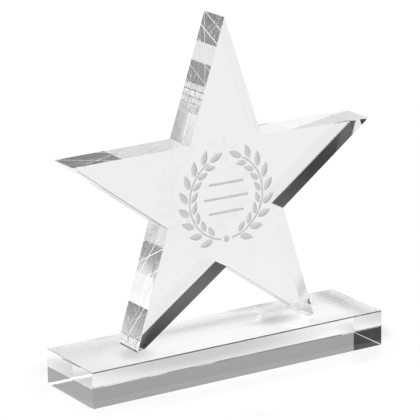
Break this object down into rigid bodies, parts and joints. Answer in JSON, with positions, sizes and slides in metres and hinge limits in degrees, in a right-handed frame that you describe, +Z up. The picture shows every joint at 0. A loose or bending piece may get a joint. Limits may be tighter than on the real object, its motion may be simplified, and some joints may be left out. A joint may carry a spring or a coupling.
{
  "type": "crystal award",
  "caption": "Clear star-shaped plate with an engraved wreath, standing on its lower points on a clear rectangular block.",
  "frame": {"origin": "middle of the base block's underside", "axes": "+X along the base block, +Z up, the star's engraved face looks along -Y"},
  "size_m": [0.1858, 0.048, 0.1943],
  "materials": {
    "base_crystal": "clear, flat polished faces",
    "star_crystal": "clear, flat polished faces, with a shallow engraving filled in grey",
    "adhesive": "thin cured film, slightly cloudy"
  },
  "bodies": {
    "root": {"base_block": "base_crystal", "star_plate": "star_crystal", "adhesive_film_left": "adhesive", "adhesive_film_right": "adhesive"}
  },
  "joints": []
}
